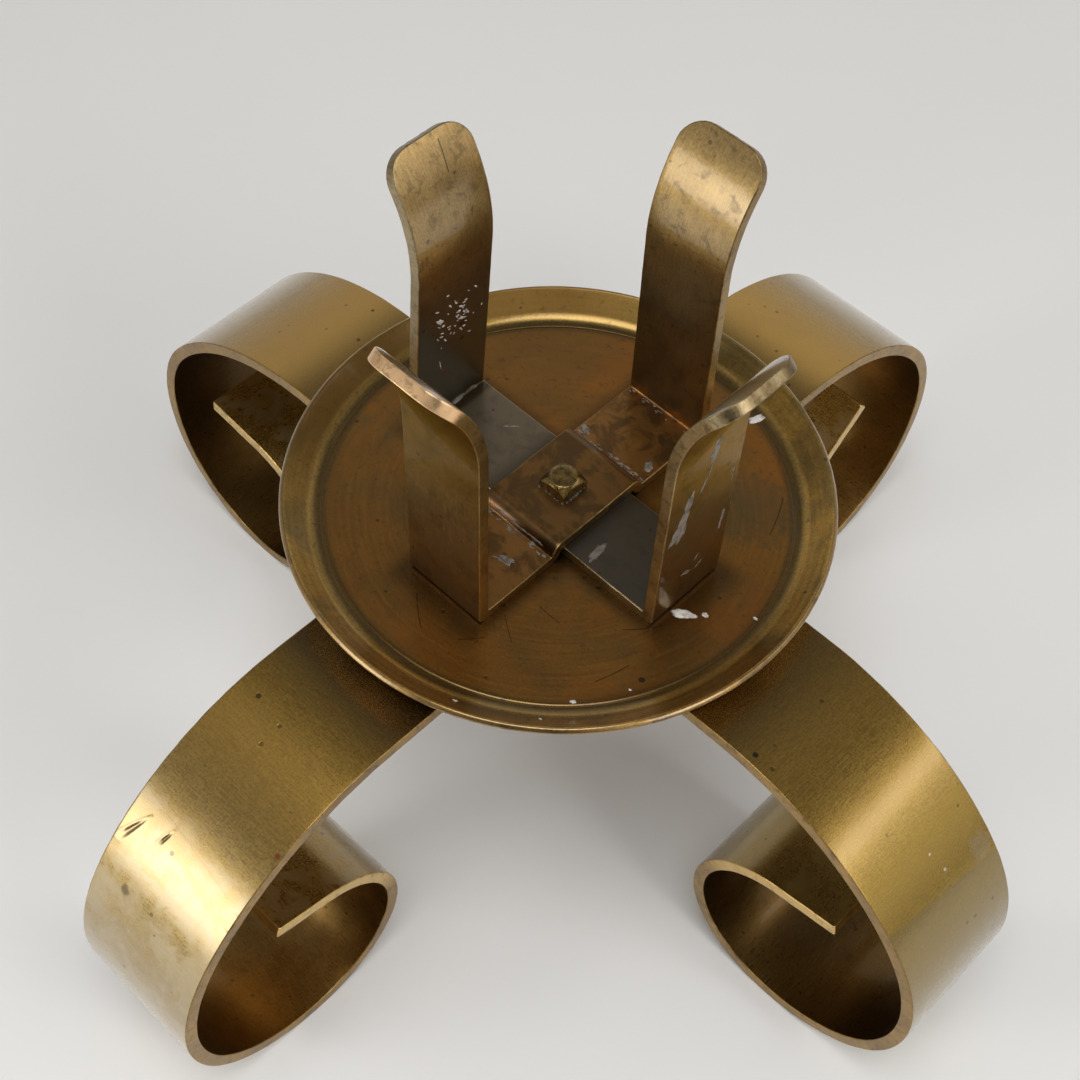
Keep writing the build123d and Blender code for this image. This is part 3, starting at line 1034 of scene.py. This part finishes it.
def clamp_bolt():
    head_top = CLAMP_TOP + HEAD_HEIGHT
    thread_end = BOLT_LENGTH - BOLT_END_CHAMFER
    thread_rows = int((thread_end - THREAD_START) / (THREAD_PITCH / THREAD_STEPS))

    def section(angle):
        found = [(0.0, head_top), (2.6 * MM, head_top)]
        found += chamfered_corner(angle, HEAD_SIDE, HEAD_FLAT_RADIUS, HEAD_CHAMFER_SLOPE, head_top, 1)
        side = square(angle, HEAD_SIDE)
        found += [(side, CLAMP_TOP + 0.1 * MM), (side - 0.1 * MM, CLAMP_TOP)]
        found += [(BOLT_RADIUS, CLAMP_TOP), (BOLT_RADIUS, CLAMP_TOP - THREAD_START)]
        for i in range(1, thread_rows + 1):
            depth = THREAD_START + i * THREAD_PITCH / THREAD_STEPS
            phase = (depth / THREAD_PITCH + angle / (2 * math.pi)) % 1.0
            cut = THREAD_DEPTH * (1 - abs(2 * phase - 1)) * smooth(i / 4)
            found.append((BOLT_RADIUS - cut, CLAMP_TOP - depth))
        low = CLAMP_TOP - BOLT_LENGTH
        return found + [(BOLT_RADIUS - BOLT_END_CHAMFER, low), (0.0, low)]

    place_turned("square_head_bolt", section, "clamp_bolt")


def washer():
    top = LEG_TOP - LEG_THICKNESS
    low = top - WASHER_THICKNESS
    bore, rim = WASHER_BORE_RADIUS, WASHER_RADIUS

    def section(angle):
        wear = 0.04 * MM * noise.noise(Vector((math.cos(angle) * 3, math.sin(angle) * 3, 2.0)))
        return [(bore, top), (rim - ARRIS, top), (rim, top - ARRIS + wear), (rim, low + ARRIS),
                (rim - ARRIS, low), (bore + ARRIS, low), (bore, low + ARRIS)]

    place_turned("flat_washer", section, "washer")


def nut():
    top = LEG_TOP - LEG_THICKNESS - WASHER_THICKNESS
    low = top - NUT_HEIGHT

    def section(angle):
        found = [(NUT_BORE_RADIUS, top), (square(angle, NUT_SIDE), top)]
        found += chamfered_corner(angle, NUT_SIDE, NUT_SIDE / 2, NUT_CHAMFER_SLOPE, low, -1)[::-1]
        return found + [(NUT_BORE_RADIUS + ARRIS, low), (NUT_BORE_RADIUS, low + ARRIS)]

    place_turned("square_nut", section, "nut")


class Wax:
    """Flat irregular flecks of old wax, laid on a surface: place(u, v, lift) gives a point over it."""

    RINGS = 4
    SPOKES = 18

    def __init__(self, seed):
        self.random = random.Random(seed)
        self.vertices = []
        self.faces = []

    def fleck(self, place, u, v, length, width, degrees, thickness, ragged):
        """Add a fleck whose length lies at an angle to u; the place and the sizes are in millimetres."""
        u, v, length, width, thickness = u * MM, v * MM, length * MM, width * MM, thickness * MM
        turn = math.radians(degrees)
        seed = self.random.uniform(0, 100)
        first = len(self.vertices)
        self.vertices.append(place(u, v, thickness))
        for i in range(1, self.RINGS + 1):
            share = i / self.RINGS
            sink = 0.02 * MM if i == self.RINGS else 0.0
            lift = thickness * math.sqrt(max(0.0, 1 - share ** 3)) - sink
            for k in range(self.SPOKES):
                angle = 2 * math.pi * k / self.SPOKES
                cos, sin = math.cos(angle), math.sin(angle)
                shake = 1 + ragged * noise.noise(Vector((cos * 1.6, sin * 1.6, seed)))
                shake += 0.5 * ragged * noise.noise(Vector((cos * 4, sin * 4, seed)))
                du = cos * length / 2 * share * shake
                dv = sin * width / 2 * share * shake
                self.vertices.append(place(u + du * math.cos(turn) - dv * math.sin(turn),
                                           v + du * math.sin(turn) + dv * math.cos(turn), lift))
        self.vertices.append(place(u, v, -0.03 * MM))
        self._join(first, len(self.vertices) - 1)

    def _join(self, first, last):
        """Faces of the fleck whose middle is the vertex first and whose underside is last."""
        for k in range(self.SPOKES):
            after = (k + 1) % self.SPOKES
            self.faces.append((first, first + 1 + k, first + 1 + after))
            for i in range(self.RINGS - 1):
                inner, outer = first + 1 + i * self.SPOKES, first + 1 + (i + 1) * self.SPOKES
                self.faces.append((inner + k, outer + k, outer + after, inner + after))
            rim = last - self.SPOKES
            self.faces.append((rim + k, last, rim + after))

    def build(self, name, material):
        mesh, _ = new_mesh(name, self.vertices, self.faces, [material], [0] * len(self.faces))
        piece = finished(name, mesh, False)
        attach(piece, "root")


def pan_surface(x, y, lift):
    """A point over the pan's upper face."""
    radius = math.hypot(x, y)
    if radius <= PAN_FLOOR_RADIUS:
        return Vector((x, y, PAN_FLOOR + lift))
    low, high = PAN_FLOOR_RADIUS, PAN_PATH.length
    for _ in range(20):
        middle = (low + high) / 2
        if PAN_PATH.at(middle)[0].x < radius:
            low = middle
        else:
            high = middle
    return Vector((x, y, PAN_PATH.at(low)[0].y + lift))


def wax_on_pan(material):
    wax = Wax(3)
    for x, y, length, width, degrees, thickness in (
            (50.2, -3.4, 7.0, 3.2, 30, 0.4), (54.6, 0.6, 2.0, 1.6, 10, 0.3), (65.0, 9.5, 1.6, 0.9, 0, 0.2),
            (48.2, -44.5, 2.0, 1.3, 40, 0.25), (19.6, 63.2, 6.0, 3.2, 65, 0.2),
            (56.2, -31.2, 1.0, 0.6, 0, 0.15), (27.1, -67.0, 1.6, 0.9, 20, 0.2),
            (46.5, -55.2, 1.0, 0.7, 0, 0.2)):
        wax.fleck(pan_surface, x, y, length, width, degrees, thickness, 0.35)
    wax.build("wax_on_pan", material)


def wax_on_prong(lower, material):
    """Spatter on the inside of the -X prong."""
    wax = Wax(8)
    uniform, gauss = wax.random.uniform, wax.random.gauss
    for _ in range(46):
        u, v = gauss(-83.0, 4.5), gauss(0.5, 4.0)
        wax.fleck(lower.place, u, max(-12.0, min(12.0, v)), uniform(0.4, 1.9), uniform(0.3, 0.8),
                  uniform(20, 75), 0.06, 0.8)
    for u, v, length, width, degrees in ((-86.3, -5.4, 3.6, 1.5, 35), (-81.5, 3.0, 3.2, 1.1, 65),
                                         (-67.4, -4.8, 4.0, 0.4, 8)):
        wax.fleck(lower.place, u, v, length, width, degrees, 0.08, 0.8)
    wax.build("wax_on_prong", material)


def wax_smears(lower, upper, material):
    """Thin greyed wax: down the outside of the +X prong, on the flats and along the crossing."""
    wax = Wax(14)
    uniform, choice = wax.random.uniform, wax.random.choice

    def outside_east(u, v, lift):
        return lower.place(u, v, lift, True)

    for place, u, v, length, width, degrees in (
            (outside_east, 78.0, -8.2, 13.0, 7.0, 4), (outside_east, 88.0, -6.0, 10.0, 2.4, 12),
            (outside_east, 103.0, 1.5, 13.0, 3.4, 10), (outside_east, 92.8, -0.3, 8.0, 1.0, 20),
            (outside_east, 66.3, 10.3, 12.0, 1.1, 3), (outside_east, 86.0, 11.2, 9.0, 0.8, 0),
            (outside_east, 53.0, -1.5, 1.6, 4.0, 20), (outside_east, 52.0, 3.4, 1.2, 3.4, -25),
            (outside_east, 57.0, 1.8, 2.6, 0.8, 30), (lower.place, 21.0, -8.1, 2.6, 6.5, 12),
            (lower.place, -27.0, 7.0, 5.0, 1.0, 40), (upper.place, -29.5, -4.8, 2.6, 7.5, 28),
            (upper.place, 22.8, 11.2, 4.2, 2.0, 60), (upper.place, 25.4, -11.0, 5.0, 2.4, 20)):
        wax.fleck(place, u, v, length, width, degrees, 0.07, 0.8)
    step = (CLAMP_WIDTH / 2 + CLAMP_JOGGLE_GAP) / MM
    for _ in range(70):
        side = choice((-1, 1))
        v = uniform(-13.0, 13.0)
        wax.fleck(upper.place, side * (step + uniform(5.6, 7.2)), v, uniform(0.5, 2.4), uniform(0.3, 0.9),
                  90 + uniform(-15, 15), 0.06, 0.6)
    for place, u, v, length, width, thickness in (
            (lower.place, -45.6, -4.0, 7.0, 2.0, 0.1), (lower.place, -45.4, 3.0, 6.0, 1.6, 0.1),
            (lower.place, -45.8, 8.0, 4.0, 1.2, 0.1), (upper.place, -18.6, -7.0, 6.0, 0.9, 0.08),
            (upper.place, -18.8, -0.5, 7.0, 0.9, 0.08), (upper.place, -18.6, 6.5, 6.0, 0.9, 0.08),
            (upper.place, 18.7, 8.0, 5.0, 0.9, 0.08), (upper.place, 18.6, -7.0, 4.0, 0.9, 0.08)):
        wax.fleck(place, u, v, length, width, 90, thickness, 0.6)
    for _ in range(34):
        v = uniform(-12.5, 12.5)
        bar, sign, foot = choice(((lower, 1, 45.2), (upper, -1, 43.0), (upper, 1, 43.0), (lower, -1, 45.8)))
        wax.fleck(bar.place, sign * (foot + uniform(-0.8, 0.8)), v, uniform(0.5, 2.2), uniform(0.3, 0.7),
                  90 + uniform(-15, 15), 0.06, 0.6)
    wax.build("wax_smears", material)


def grime_round_bolt(material):
    """Broken ring of dried wax and dust where the head meets the strap."""
    wax = Wax(5)
    uniform = wax.random.uniform

    def crossing(x, y, lift):
        return Vector((BOLT.x + x, BOLT.y + y, CLAMP_TOP + lift))

    for degrees in range(0, 360, 12):
        if wax.random.random() < 0.25:
            continue
        angle = math.radians(degrees)
        reach = square(angle, HEAD_SIDE) / MM + uniform(-0.1, 0.35)
        wax.fleck(crossing, reach * math.cos(angle), reach * math.sin(angle), uniform(0.8, 1.9),
                  uniform(0.5, 0.9), degrees + 90, 0.25, 0.6)
    wax.build("grime_round_bolt", material)


lower_leg_strap()
upper_leg_strap()
drip_pan()
lower_clamp = lower_clamp_strap()
upper_clamp = upper_clamp_strap()
clamp_bolt()
washer()
nut()
WAX = old_wax("old_wax", (0.72, 0.7, 0.66), (0.42, 0.37, 0.34))
wax_on_pan(WAX)
wax_on_prong(lower_clamp, WAX)
wax_smears(lower_clamp, upper_clamp, old_wax("smeared_wax", (0.21, 0.18, 0.15), (0.09, 0.07, 0.048)))
grime_round_bolt(grime())

# Floor, lights, camera ---------------------------------------------------------------------------

FLOOR_SIZE = 3.0
FLOOR_GAP = 0.1 * MM

bpy.ops.mesh.primitive_plane_add(size=FLOOR_SIZE, location=(0, 0, -FLOOR_GAP))
floor = bpy.context.object
floor.name = "floor"
floor.data.materials.append(floor_paper())


def aim(azimuth, elevation):
    """Unit vector towards a place in the studio; azimuth 0 is the -Y side, 90 the +X side."""
    a, e = math.radians(azimuth), math.radians(elevation)
    return Vector((math.cos(e) * math.sin(a), -math.cos(e) * math.cos(a), math.sin(e)))


HOLDER_MIDDLE = Vector((0, 0, 0.09))
WATTS_PER_RADIANCE = 4.0


def softbox(name, azimuth, elevation, distance, width, height, radiance):
    """Rectangular light that faces the holder."""
    light = bpy.data.lights.new(name, "AREA")
    light.shape = "RECTANGLE"
    light.size = width
    light.size_y = height
    light.energy = radiance * WATTS_PER_RADIANCE * width * height
    lamp = bpy.data.objects.new(name, light)
    bpy.context.scene.collection.objects.link(lamp)
    towards = aim(azimuth, elevation)
    lamp.location = HOLDER_MIDDLE + towards * distance
    lamp.rotation_euler = towards.to_track_quat("Z", "Y").to_euler()
    lamp.visible_camera = False


softbox("right_softbox", 122, 34.5, 1.5, 2.0, 0.17, 1.85)
softbox("side_softbox", 88, 30, 2.0, 0.8, 0.8, 4.2)
softbox("front_softbox", 30, 74, 2.4, 1.3, 1.3, 3.7)
for size, radiance in ((0.11, 3.5), (0.18, 3.0), (0.28, 2.2)):
    softbox("left_lamp", -19, 13.5, 0.7, size, size, radiance)

world = bpy.data.worlds.new("studio")
bpy.context.scene.world = world
world.use_nodes = True
sky = world.node_tree
direction = new_node(sky, "TexCoord", {}, {}).outputs["Generated"]
upwards = new_node(sky, "SeparateXYZ", {"Vector": direction}, {}).outputs["Z"]
ramp = new_node(sky, "ValToRGB", {"Fac": upwards}, {})
ramp.color_ramp.elements[0].color = (0.32, 0.295, 0.27, 1)
ramp.color_ramp.elements[1].color = (0.13, 0.125, 0.12, 1)
for height, grey in ((0.35, 0.36), (0.5, 0.45), (0.64, 0.4), (0.75, 0.13)):
    ramp.color_ramp.elements.new(height).color = (grey, grey * 0.95, grey * 0.9, 1)


def glow(light, azimuth, elevation, inner, outer, radiance):
    """Add a soft-edged light to the studio's surroundings, or a dark screen when it is negative."""
    towards = {0: direction, 1: aim(azimuth, elevation)}
    facing = new_node(sky, "VectorMath", towards, {"operation": "DOT_PRODUCT"}).outputs["Value"]
    limits = {"Value": facing, "From Min": math.cos(math.radians(outer)),
              "From Max": math.cos(math.radians(inner))}
    edge = new_node(sky, "MapRange", limits, {"interpolation_type": "SMOOTHSTEP"}).outputs["Result"]
    added = {0: edge, 1: radiance * Vector((1.0, 0.95, 0.9)), 2: light}
    return new_node(sky, "VectorMath", added, {"operation": "MULTIPLY_ADD"}).outputs["Vector"]


surroundings = ramp.outputs["Color"]
for azimuth, elevation, inner, outer, radiance in (
        (120, 22, 6, 24, 0.5), (42, 15, 10, 65, -0.27), (-138, 8, 20, 55, 0.25), (-53, 57, 6, 24, 0.2),
        (165, 62, 6, 20, 0.05)):
    surroundings = glow(surroundings, azimuth, elevation, inner, outer, radiance)
sky.links.new(surroundings, sky.nodes["Background"].inputs["Color"])

CAMERA_AZIMUTH = 42.125
CAMERA_ELEVATION = 54.503
CAMERA_ROLL = 2.63
CAMERA_DISTANCE = 0.60324
CAMERA_SIDE = -0.0018
CAMERA_RISE = 0.05642
FOCAL_LENGTH = 59.5
SENSOR_WIDTH = 36.0
FRAME_SHIFT = (-0.0007, 0.00895)

camera_data = bpy.data.cameras.new("camera")
camera_data.lens = FOCAL_LENGTH
camera_data.sensor_width = SENSOR_WIDTH
camera_data.shift_x, camera_data.shift_y = FRAME_SHIFT
camera_data.clip_start = 0.01
camera = bpy.data.objects.new("camera", camera_data)
bpy.context.scene.collection.objects.link(camera)
back = aim(CAMERA_AZIMUTH, CAMERA_ELEVATION)
level_right = Vector((0, 0, 1)).cross(back).normalized()
level_up = back.cross(level_right)
roll = math.radians(CAMERA_ROLL)
right = level_right * math.cos(roll) + level_up * math.sin(roll)
up = level_up * math.cos(roll) - level_right * math.sin(roll)
place_at = back * CAMERA_DISTANCE + right * CAMERA_SIDE + up * CAMERA_RISE
camera.matrix_world = Matrix.Translation(place_at) @ Matrix((right, up, back)).transposed().to_4x4()
bpy.context.scene.camera = camera
bpy.context.scene.view_settings.view_transform = "Standard"
